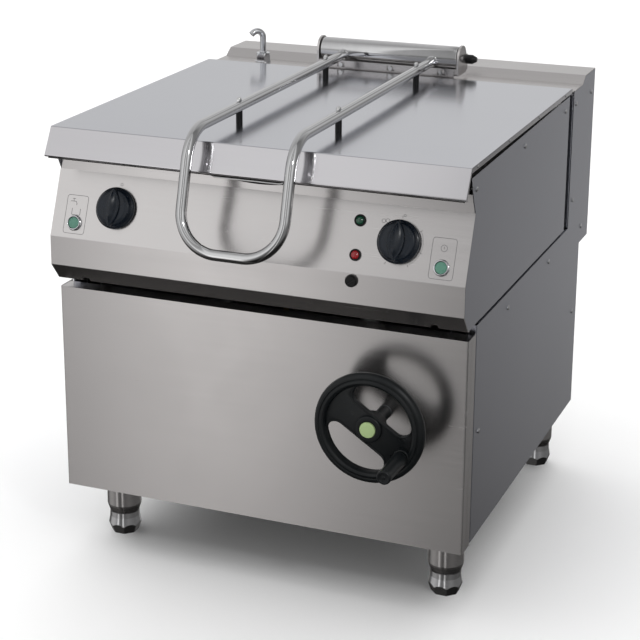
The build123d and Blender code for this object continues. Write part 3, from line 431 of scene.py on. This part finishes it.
def tube_data(path, radius, segs=40, cap=True):
    """round tube along a list of points with a rotation-minimising frame"""
    path = [Vector(p) for p in path]
    clean = [path[0]]
    for p in path[1:]:
        if (p - clean[-1]).length > 1e-4:
            clean.append(p)
    path = clean
    n = len(path)
    tang = []
    for i in range(n):
        if i == 0:
            t = path[1] - path[0]
        elif i == n - 1:
            t = path[-1] - path[-2]
        else:
            t = (path[i + 1] - path[i]).normalized() + (path[i] - path[i - 1]).normalized()
        tang.append(t.normalized())
    up = Vector((0, 0, 1)) if abs(tang[0].z) < 0.9 else Vector((1, 0, 0))
    nrm = (up - tang[0] * up.dot(tang[0])).normalized()
    verts, faces = [], []
    for i in range(n):
        if i:
            nrm = (nrm - tang[i] * nrm.dot(tang[i])).normalized()
        bin_ = tang[i].cross(nrm)
        r = radius[i] if isinstance(radius, list) else radius
        for k in range(segs):
            a = 2 * math.pi * k / segs
            verts.append(path[i] + nrm * (r * math.cos(a)) + bin_ * (r * math.sin(a)))
    for i in range(n - 1):
        for k in range(segs):
            l = (k + 1) % segs
            faces.append((i * segs + k, i * segs + l, (i + 1) * segs + l, (i + 1) * segs + k))
    if cap:
        faces.append(tuple(range(segs - 1, -1, -1)))
        faces.append(tuple((n - 1) * segs + k for k in range(segs)))
    return verts, faces


MM = Matrix.Scale(0.001, 4)
TOROW = Matrix.Translation((0, YS, 0)) @ MM


# ------------------------------------------------------------------ lid handle: one polished tube
RAIL = 98.0
ROD = 10.0
HANDLE = [(-RAIL, 694.5, 880), (-RAIL, -56.6, 880), (-RAIL, -114, 679), (RAIL, -114, 679), (RAIL, -56.6, 880), (RAIL, 694.5, 880)]
hpath = fillet_path(HANDLE, [72, 72, 72, 72], 20)
hd = finish_mesh("handle_tube", *tube_data(densify(hpath, 14.0), ROD, 48), M["tube_steel"], "lid", "tube_steel", 60, TOROW)
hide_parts("lid_handle")
# weld beads where the rails meet the hinge tube
for sx in (-1, 1):
    ring_pts = []
    for k in range(49):
        a = 2 * math.pi * k / 48
        zz = ROD * 1.06 * math.sin(a)
        dz = -6.0 + zz
        yy = 715 - math.sqrt(max(1.0, 24.15 ** 2 - dz * dz))
        ring_pts.append((sx * RAIL + ROD * 1.06 * math.cos(a), yy - 0.7, 880 + zz))
    finish_mesh("rail_weld", *tube_data(ring_pts, [1.5 + 0.25 * math.sin(k * 2.1) for k in range(49)], 10, False), M["tube_steel"], "lid", "tube_steel", 60, TOROW)

# ------------------------------------------------------------------ hinge tube
# tube with a bush in each end, bored for the axle as in the CAD
prof = [(8.06, -149.5), (22.95, -149.5), (23.8, -149.15), (24.15, -148.3), (24.15, 148.3), (23.8, 149.15), (22.95, 149.5), (8.06, 149.5),
        (8.06, 137.5), (21.55, 137.5), (21.55, -137.5), (8.06, -137.5)]
ht = finish_mesh("hinge_barrel", *closed_lathe_data(prof, 96), M["tube_steel"], "lid", "tube_steel", 40, frame_matrix(P(0, 715, 886), (1, 0, 0), (0, 1, 0)))
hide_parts("hinge_tube")

# ------------------------------------------------------------------ control knobs
def knob_mesh(name, x, body, node):
    pm = panel_matrix(x, 62.5)
    prof = round_profile([(0, 1.0), (37.9, 1.0), (38.5, 1.8), (38.5, 7.0), (37.2, 8.8), (35.2, 9.8), (34.0, 13.5), (31.5, 16.8), (26, 18.6), (0, 19.6)],
                         [0, 0.3, 0.4, 0.8, 1.2, 1.5, 3.0, 3.0, 6.0, 0], 4)
    k = finish_mesh(name, *lathe_data(prof, 128), M["knob_black"], body, "black_plastic", 50, pm)
    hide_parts(node)

    def lens_ring(half_w, vm, z, n=40, rad=58.0):
        c = math.sqrt(rad * rad - vm * vm)
        full = rad - c
        pts = []
        for i in range(n + 1):
            v = -vm + 2 * vm * i / n
            pts.append(((math.sqrt(rad * rad - v * v) - c) * half_w / full, v, z))
        for i in range(1, n):
            v = vm - 2 * vm * i / n
            pts.append((-(math.sqrt(rad * rad - v * v) - c) * half_w / full, v, z))
        return pts

    layers = [(15.2, 36.0, 9.0), (15.0, 35.6, 20.6), (14.6, 35.2, 21.9), (13.8, 34.2, 22.6), (12.4, 32.6, 22.9), (9.0, 29.5, 24.2), (5.0, 26.5, 26.4), (2.3, 25.0, 28.2), (1.1, 24.4, 28.9)]
    verts, faces, n0 = [], [], None
    rings = []
    for hw, vm, z in layers:
        pts = lens_ring(hw, vm, z)
        rings.append(list(range(len(verts), len(verts) + len(pts))))
        verts += pts
    for a, b in zip(rings, rings[1:]):
        m_ = len(a)
        for i in range(m_):
            j = (i + 1) % m_
            faces.append((a[i], a[j], b[j], b[i]))
    faces.append(tuple(reversed(rings[-1])))
    finish_mesh(name + "_grip", verts, faces, M["knob_black"], body, "black_plastic", 28, pm)
    # fine raised line round the grip and the white pointer dot on the skirt
    line = lens_ring(15.6, 36.6, 18.3)
    line = [Vector((p[0], p[1], 19.75 - 0.0016 * (p[0] ** 2 + p[1] ** 2))) for p in line]
    for tag, sgn in (("a", 1), ("b", -1)):
        half = [p for p in line if p.x * sgn >= -0.01 and abs(p.y) < 31]
        half.sort(key=lambda p: p.y)
        finish_mesh(name + "_line_" + tag, *tube_data(half, 0.45, 8), M["knob_black"], body, "black_plastic", 60, pm)
    dot = round_profile([(0, 0.0), (1.1, 0.0), (1.1, 0.55), (0, 0.7)], 0.2, 3)
    finish_mesh(name + "_dot", *moved(lathe_data(dot, 20), Matrix.Translation((0, 33.2, 14.4)) @ Matrix.Rotation(math.radians(-58), 4, "X")), M["white_mark"], body, None, 50, pm)


knob_mesh("left_knob", -273.0, "knob_left", "knob_left")
knob_mesh("right_knob", 273.0, "knob_right", "knob_right")


# printed marks: thin raised ink lines on the sloping panel
def ink(name, x, pts, width=0.75, closed=False, y0=62.5, h=0.09):
    """a thin line in the panel's plane; pts in millimetres from (x, y0), v upwards"""
    n = len(pts)
    verts, faces = [], []
    for i in range(n):
        p = Vector(pts[i])
        if closed:
            d_ = (Vector(pts[(i + 1) % n]) - Vector(pts[i - 1])).normalized()
        else:
            d_ = (Vector(pts[min(n - 1, i + 1)]) - Vector(pts[max(0, i - 1)])).normalized()
        nn = Vector((-d_.y, d_.x)) * width / 2
        for q, z in ((p + nn, 0.01), (p + nn, h), (p - nn, h), (p - nn, 0.01)):
            verts.append((q.x, q.y, z))
    m_ = n if closed else n - 1
    for i in range(m_):
        j = (i + 1) % n
        for k in range(4):
            l = (k + 1) % 4
            faces.append((i * 4 + k, j * 4 + k, j * 4 + l, i * 4 + l))
    if not closed:
        faces.append((0, 1, 2, 3))
        faces.append(tuple((n - 1) * 4 + k for k in (3, 2, 1, 0)))
    return finish_mesh(name, verts, faces, M["print"], "tilting_body", None, 30, panel_matrix(x, y0))


def circle_pts(cx, cy, r, n=32):
    return [(cx + r * math.cos(2 * math.pi * i / n), cy + r * math.sin(2 * math.pi * i / n)) for i in range(n)]


# label outlines
for sx in (-1, 1):
    w2, top, bot = 21.5, 98.0 - 46.5, 98.0 - 117.7
    ol = round_profile([(-w2, bot), (w2, bot), (w2, top), (-w2, top)], 5.0, 6, True)
    ink("label_outline", sx * 354.0, ol, 0.8, True, 98.0)
# left pictogram: tap over a vessel; right: ring with a bar
ink("sign_vessel", -354.0, round_profile([(-9, 27), (-9, 15), (8, 15), (8, 27)], 1.5, 3), 0.9, False, 98.0)
ink("sign_tap", -354.0, round_profile([(-14, 40), (-8, 40), (-3, 40), (-1, 36), (-1, 33)], 2.0, 3), 0.9, False, 98.0)
ink("sign_tap_top", -354.0, [(-11, 45), (-5, 45)], 0.9, False, 98.0)
ink("sign_tap_stem", -354.0, [(-8, 45), (-8, 40)], 0.9, False, 98.0)
ink("sign_ring", 354.0, circle_pts(0, 34, 5.6), 0.8, True, 98.0)
ink("sign_bar", 354.0, [(0, 36.8), (0, 32.2)], 0.8, False, 98.0)
# dial marks
ink("dial_ring_a", 273.0, circle_pts(-33, 33.5, 3.3, 24), 0.7, True)
ink("dial_ring_b", 273.0, circle_pts(-25.8, 34.5, 3.3, 24), 0.7, True)
for k, ang in enumerate((90, 32, -20, -62, -118)):
    a = math.radians(ang)
    r0, r1 = 41.5, 46.0
    ink("dial_tick_%d" % k, 273.0, [(r0 * math.cos(a), r0 * math.sin(a)), (r1 * math.cos(a), r1 * math.sin(a))], 0.9)
arc = [(43.0 * math.cos(math.radians(t)), 43.0 * math.sin(math.radians(t))) for t in range(-58, 31, 4)]
ink("dial_scale", 273.0, arc, 0.5)
ink("dial_zero_left", -273.0, circle_pts(4.0, 44.5, 2.3, 20), 0.7, True)
ink("dial_off_right", 273.0, circle_pts(4.0, 46.5, 2.0, 20), 0.7, True)

# ------------------------------------------------------------------ push buttons
for sx, nm in ((-1, "button_left"), (1, "button_right")):
    pm = panel_matrix(sx * 354.0, 98.0)
    bez = round_profile([(11.0, 0.05), (14.6, 0.05), (14.6, 1.5), (13.9, 2.2), (13.5, 4.6), (12.9, 5.7), (11.7, 5.8), (11.0, 5.2)], [0, 0, 0.4, 0.4, 0.4, 0.6, 0.5, 0], 4, True)
    o = finish_mesh("bezel_ring", *closed_lathe_data(bez, 96), M["chrome"], "tilting_body", "chrome", 40, pm)
    sl = [(11.0, -24), (12.0, -24), (12.0, 0.06), (11.0, 0.06)]
    o2 = finish_mesh("bezel_sleeve", *closed_lathe_data(sl, 48), M["chrome"], "tilting_body", "chrome", 40, pm)
    if sx == -1:
        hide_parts("button_bezels")
    capp = round_profile([(0, -9.0), (10.9, -9.0), (10.9, 3.2), (10.3, 4.3), (9.0, 4.4), (8.2, 3.9), (4.0, 4.3), (0, 4.4)], [0, 0.4, 0.5, 0.6, 0.5, 0.6, 3, 0], 4)
    o = finish_mesh(nm + "_cap", *lathe_data(capp, 96), M["button_green"], nm, "button_green", 45, pm)
    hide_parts(nm)

# ------------------------------------------------------------------ pilot lamps
for i, (s_, nm, mt) in enumerate(((32.9, "lamp_green", "lens_green"), (93.5, "lamp_red", "lens_red"))):
    pm = panel_matrix(197.4, s_)
    bz = round_profile([(7.7, 0.05), (10.6, 0.05), (10.6, 2.2), (9.7, 3.7), (8.2, 3.8), (7.7, 3.3)], [0, 0, 0.5, 0.7, 0.5, 0], 4, True)
    o = finish_mesh("lamp_ring", *closed_lathe_data(bz, 80), M["black_plastic"], "tilting_body", "black_plastic", 40, pm)
    if i == 0:
        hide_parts("lamp_bezels")
    ln = round_profile([(0, -16), (6.3, -16), (6.3, 0.4), (7.6, 0.4), (7.6, 2.8), (6.6, 4.7), (4.2, 6.1), (0, 6.9)], [0, 0, 0, 0, 1.0, 1.6, 3, 0], 4)
    o = finish_mesh(nm + "_lens", *lathe_data(ln, 80), M[mt], "tilting_body", mt, 50, pm)
    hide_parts(nm)

# ------------------------------------------------------------------ handwheel
WC = P(250.0, -80.0, 388.0)
WA = math.radians(-33.5)
WM = frame_matrix(WC, (0, -1, 0), (1, 0, 0)) @ Matrix.Rotation(WA, 4, "Z")
rimp = round_profile([(79.2, -6), (79.6, 5), (82, 10.6), (86, 12), (89.8, 10.9), (91.3, 8.3), (92.6, 9.4), (96.2, 9.0), (100.2, 5.6), (102, 0.5), (101.6, -4.6), (99, -9.2), (94, -11.5), (86, -11.5), (81.5, -9.5)],
                     [1.5, 3, 3, 2.6, 1.4, 1.0, 1.2, 3, 3.5, 3, 3, 3, 3, 3, 2], 4, True)
rimo = finish_mesh("wheel_rim", *closed_lathe_data(rimp, 160), M["wheel_black"], "handwheel", "wheel_black", 45, WM)
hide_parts("handwheel")


def window_curve(off=0.0):
    """inner edge of the web along one window, right to left, in the wheel's plane"""
    r_, cy_ = 17.0 + off, 44.0
    uc = math.sqrt((79.0 - 17.0) ** 2 - cy_ ** 2)
    pts = []
    a0 = math.atan2(cy_, uc)
    for k in range(15):
        a = a0 + (-math.pi / 2 - a0) * k / 14
        pts.append((uc + r_ * math.cos(a), cy_ + r_ * math.sin(a)))
    return pts + [(-x, y) for x, y in reversed(pts)]


a0 = math.atan2(44.0, math.sqrt(62.0 ** 2 - 44.0 ** 2))
top = window_curve()
outline = [(80.4 * math.cos(-a0 + 2 * a0 * k / 24), 80.4 * math.sin(-a0 + 2 * a0 * k / 24)) for k in range(25)]
outline += top
outline += [(80.4 * math.cos(math.pi - a0 + 2 * a0 * k / 24), 80.4 * math.sin(math.pi - a0 + 2 * a0 * k / 24)) for k in range(25)]
outline += [(-x, -y) for x, y in top]


def plate_with_bevel(name, pts, z0, z1, mat, body, slot, mtx, bev=1.1):
    """flat plate of any outline with chamfered rims"""
    n = len(pts)
    ins = []
    for i in range(n):
        p0, p1, p2 = Vector(pts[i - 1]), Vector(pts[i]), Vector(pts[(i + 1) % n])
        d_ = ((p1 - p0).normalized() + (p2 - p1).normalized()).normalized()
        ins.append(p1 + Vector((-d_.y, d_.x)) * bev)
    loops = [[(q.x, q.y, z1) for q in ins], [(q.x * .3 + p[0] * .7, q.y * .3 + p[1] * .7, z1 - bev * .3) for q, p in zip(ins, pts)], [(p[0], p[1], z1 - bev) for p in pts],
             [(p[0], p[1], z0 + bev) for p in pts], [(q.x, q.y, z0) for q in ins]]
    verts = [v for lp in loops for v in lp]
    faces = []
    for k in range(len(loops) - 1):
        for i in range(n):
            j = (i + 1) % n
            faces.append((k * n + i, k * n + j, (k + 1) * n + j, (k + 1) * n + i))
    tris = tessellate_polygon([[Vector((q.x, q.y, 0)) for q in ins]])
    o4 = (len(loops) - 1) * n
    for t in tris:
        faces.append(tuple(t))
        faces.append(tuple(o4 + i for i in reversed(t)))
    return finish_mesh(name, verts, faces, mat, body, slot, 40, mtx)


plate_with_bevel("wheel_web", outline, -4.0, 4.0, M["wheel_black"], "handwheel", "wheel_black", WM)
for sgn in (1, -1):
    bead = [Vector((x * sgn, y * sgn, 4.3)) for x, y in window_curve(1.9)]
    finish_mesh("web_bead", *tube_data(bead, 1.7, 12), M["wheel_black"], "handwheel", "wheel_black", 60, WM)
hubp = round_profile([(0, 7.0), (14.7, 7.0), (14.9, 9.2), (16.6, 9.5), (22.8, 9.3), (24.5, 7.6), (24.9, 3.4), (27.5, 3.4), (27.5, -4.5), (24.5, -5), (24.5, -24), (12.6, -25), (12.6, -76.2), (8.05, -76.2), (8.05, -30)],
                     [0, 0, 0.6, 0.6, 1.5, 1.5, 0.8, 0, 0, 0, 2, 2, 0.8, 0, 0], 4)
finish_mesh("wheel_hub", *lathe_data(hubp, 96), M["wheel_black"], "handwheel", "wheel_black", 40, WM)
bossp = round_profile([(4.1, -6), (15, -6), (15.2, 8), (14.2, 12), (4.1, 12)], [0, 1, 1, 1.5, 0], 4, True)
finish_mesh("grip_boss", *moved(closed_lathe_data(bossp, 64), Matrix.Translation((75, 0, 0))), M["wheel_black"], "handwheel", "wheel_black", 40, WM)
capq = round_profile([(0, 7.0), (14.2, 7.0), (14.4, 11.0), (13.4, 12.5), (9, 13.2), (0, 13.5)], [0, 0, 0.8, 1.2, 3, 0], 4)
o = finish_mesh("wheel_cap_disc", *lathe_data(capq, 96), M["cap_green"], "handwheel", "cap_green", 45, WM)
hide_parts("wheel_cap")
gp = round_profile([(4.06, 0), (10.4, 0), (12.6, 1.6), (13.6, 8), (13.5, 22), (12.5, 46), (12.3, 70), (12.9, 81), (12.6, 86), (10.9, 88), (8.6, 87.8), (8.0, 86.6), (3.2, 86.4), (2.6, 87.2), (0, 87.3)],
                   [0, 0.8, 1.2, 4, 8, 20, 8, 2.5, 1.5, 1.0, 0.5, 0.5, 0.4, 0.4, 0], 4)
o = finish_mesh("grip_sleeve", *moved(lathe_data(gp, 80), Matrix.Translation((75, 0, 14))), M["wheel_black"], "wheel_grip", "wheel_black", 40, WM)
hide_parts("handwheel_grip")

# ------------------------------------------------------------------ swan-neck spout
tx, ty, zd = -299.0, 731.0, 843.0
ca_, sa_ = math.cos(math.radians(225)), math.sin(math.radians(225))
sp = [Vector((tx, ty, zd + 20.5)), Vector((tx, ty, 896.0))]
for k in range(1, 25):
    a = math.radians(130) * k / 24
    h_ = 14.0 * (1 - math.cos(a))
    sp.append(Vector((tx + ca_ * h_, ty + sa_ * h_, 896.0 + 14.0 * math.sin(a))))
ea = math.radians(130)
dv = Vector((ca_ * math.sin(ea), sa_ * math.sin(ea), math.cos(ea)))
sp.append(sp[-1] + dv * 5.0)
outer = tube_data(densify(sp, 6.0), 6.5, 40, False)
inner = tube_data(densify(sp, 6.0), 4.6, 40, False)
n_o = len(outer[0])
lip_f = []
m_ = n_o - 40
for k in range(40):
    l = (k + 1) % 40
    lip_f.append((m_ + k, m_ + l, n_o + m_ + l, n_o + m_ + k))
    lip_f.append((k, n_o + k, n_o + l, l))
sv, sf = merge_data(outer, inner)
o = finish_mesh("spout_tube", sv, sf + lip_f, M["chrome"], "tap_spout", "chrome", 50, TOROW)
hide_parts("tap_spout")
colp = round_profile([(5.0, 0), (8.2, 0), (8.2, 2.2), (7.4, 3.2), (6.45, 3.6), (5.0, 3.6)], [0, 0.4, 0.6, 0.4, 0, 0], 3, True)
finish_mesh("spout_collar", *closed_lathe_data(colp, 64), M["chrome"], "tap_spout", "chrome", 45, TOROW @ Matrix.Translation((tx, ty, zd + 20.5)))
lowp = [(4.0, -13), (5.5, -13), (5.5, 21), (4.0, 21)]
finish_mesh("spout_stem", *closed_lathe_data(lowp, 40), M["chrome"], "tap_spout", "chrome", 45, TOROW @ Matrix.Translation((tx, ty, zd)))

# ------------------------------------------------------------------ camera, light, floor
scene = bpy.context.scene
cam_d = bpy.data.cameras.new("view_camera")
cam = bpy.data.objects.new("view_camera", cam_d)
scene.collection.objects.link(cam)
CX, CY, F_PX = 288.0, 256.0, 1788.164
C_MM = (1223.715, -2786.019, 1603.631)
YAW, PITCH = math.radians(22.603), math.radians(-17.442)
cam.location = P(*C_MM)
d = Vector((-math.sin(YAW) * math.cos(PITCH), math.cos(YAW) * math.cos(PITCH), math.sin(PITCH)))
cam.rotation_mode = "QUATERNION"
cam.rotation_quaternion = d.to_track_quat("-Z", "Y")
cam_d.sensor_width = 36.0
cam_d.lens = F_PX * 36.0 / 640.0
cam_d.shift_x = (320.0 - CX) / 640.0
cam_d.shift_y = (CY - 320.0) / 640.0
cam_d.clip_start, cam_d.clip_end = 0.05, 60.0
cam_d.dof.use_dof = False
scene.camera = cam

# pale floor
me = bpy.data.meshes.new("studio_floor")
me.from_pydata([(-30, -30, 0), (30, -30, 0), (30, 30, 0), (-30, 30, 0)], [], [(0, 1, 2, 3)])
floor = bpy.data.objects.new("studio_floor", me)
scene.collection.objects.link(floor)
m, nt, b = new_mat("floor_pale")
cl = noise(nt, coords(nt, (1, 1, 1)), 1.5, 3.0, 0.5)
nt.links.new(ramp(nt, cl, [(0.2, (0.88, 0.88, 0.88)), (0.8, (0.92, 0.92, 0.92))]), b.inputs["Base Color"])
b.inputs["Roughness"].default_value = 0.8
b.inputs["Specular IOR Level"].default_value = 0.2
me.materials.append(m)


def area(name, loc, target, size, power, size_y=None, colour=(1, 1, 1)):
    l = bpy.data.lights.new(name, "AREA")
    l.energy = power
    l.color = colour
    l.shape = "RECTANGLE"
    l.size = size
    l.size_y = size_y or size
    o = bpy.data.objects.new(name, l)
    o.location = loc
    o.rotation_mode = "QUATERNION"
    o.rotation_quaternion = (Vector(target) - Vector(loc)).to_track_quat("-Z", "Y")
    scene.collection.objects.link(o)
    return o


sun_d = bpy.data.lights.new("overhead_soft", "SUN")
sun_d.energy = 2.3
sun_d.angle = math.radians(100)
sun = bpy.data.objects.new("overhead_soft", sun_d)
sun.rotation_euler = (math.radians(-14), math.radians(-12), 0)
scene.collection.objects.link(sun)
sun.visible_glossy = False
kick = area("highlight_right", (2.6, -2.6, 3.0), (0.2, -0.3, 0.6), 0.35, 14)
scene.view_settings.view_transform = "Standard"
scene.view_settings.look = "None"
floor.visible_glossy = False

# soft studio surroundings as the steel sees them: a tall light strip to the front left, paler
# sides and back on the left, a dim right-hand back corner and a dark lower half
w = bpy.data.worlds.new("studio")
scene.world = w
w.use_nodes = True
wn = w.node_tree
wn.nodes.clear()
wo = wn.nodes.new("ShaderNodeOutputWorld")
bg = wn.nodes.new("ShaderNodeBackground")
wn.links.new(bg.outputs[0], wo.inputs[0])
wtc = wn.nodes.new("ShaderNodeTexCoord")
wnorm = wn.nodes.new("ShaderNodeVectorMath")
wnorm.operation = "NORMALIZE"
wn.links.new(wtc.outputs["Generated"], wnorm.inputs[0])
wsep = wn.nodes.new("ShaderNodeSeparateXYZ")
wn.links.new(wnorm.outputs[0], wsep.inputs[0])
negx = math_node(wn, "MULTIPLY", wsep.outputs["X"], -1.0)
negy = math_node(wn, "MULTIPLY", wsep.outputs["Y"], -1.0)
phi = math_node(wn, "ARCTAN2", negx, negy)
phin = math_node(wn, "ADD", math_node(wn, "MULTIPLY", phi, 1 / (2 * math.pi)), 0.5)


def azimuth(stops):
    """stops of (degrees from the front towards the left, radiance)"""
    return ramp(wn, phin, [((d_ + 180.0) / 360.0, (v_, v_, v_)) for d_, v_ in stops])


LOW = [(-180, .60), (-169, .85), (-166.5, .20), (-158, .16), (-135, .20), (-90, .18), (-50, .25), (-17, .16), (-14, 1.35), (-10, 1.35),
       (-7, .14), (0, .14), (13, .22), (16, .34), (19, .52), (21.5, .95), (24, 1.40), (26.5, 1.50), (28.5, .88), (30.5, .40),
       (34, .34), (42, .45), (60, .62), (88, .55), (100, .16), (125, .14), (140, .5), (165, .5), (172, .12), (179.9, .12)]
HIGH = [(-180, .80), (-176.5, .80), (-174, .35), (-167, .35), (-163, .65), (-120, .25), (-90, .30), (-62, .95), (-50, .95), (-35, .40),
        (-17, .36), (-14, 1.5), (-10, 1.5), (-7, .36), (13, .50), (18, .50), (21, .74), (24, 1.02), (31, 1.0), (45, .84),
        (60, .74), (90, .55), (150, .70), (166, .74), (169, .70), (171.5, .40), (175, .40), (177, .80), (179.9, .80)]
mixn = wn.nodes.new("ShaderNodeMix")
mixn.data_type = "RGBA"
wn.links.new(remap(wn, wsep.outputs["Z"], 0.0, 1.0, -0.05, 0.2), mixn.inputs["Factor"])
wn.links.new(azimuth(LOW), mixn.inputs[6])
wn.links.new(azimuth(HIGH), mixn.inputs[7])
zn = math_node(wn, "ADD", math_node(wn, "MULTIPLY", wsep.outputs["Z"], 0.5), 0.5)
elev = ramp(wn, zn, [(0.0, (.07, .068, .066)), (0.18, (.085, .083, .081)), (0.27, (.40, .39, .385)), (0.31, (.72, .71, .70)), (0.345, (.93, .92, .915)), (0.5, (1.0, 1.0, 1.0)), (0.7, (1.0, 1.0, 1.0)), (0.86, (.95, .95, .95)), (1.0, (.8, .8, .8))])
mul = wn.nodes.new("ShaderNodeMix")
mul.data_type = "RGBA"
mul.blend_type = "MULTIPLY"
mul.inputs["Factor"].default_value = 1.0
wn.links.new(mixn.outputs[2], mul.inputs[6])
wn.links.new(elev, mul.inputs[7])
wn.links.new(mul.outputs[2], bg.inputs["Color"])
bg.inputs["Strength"].default_value = 1.0
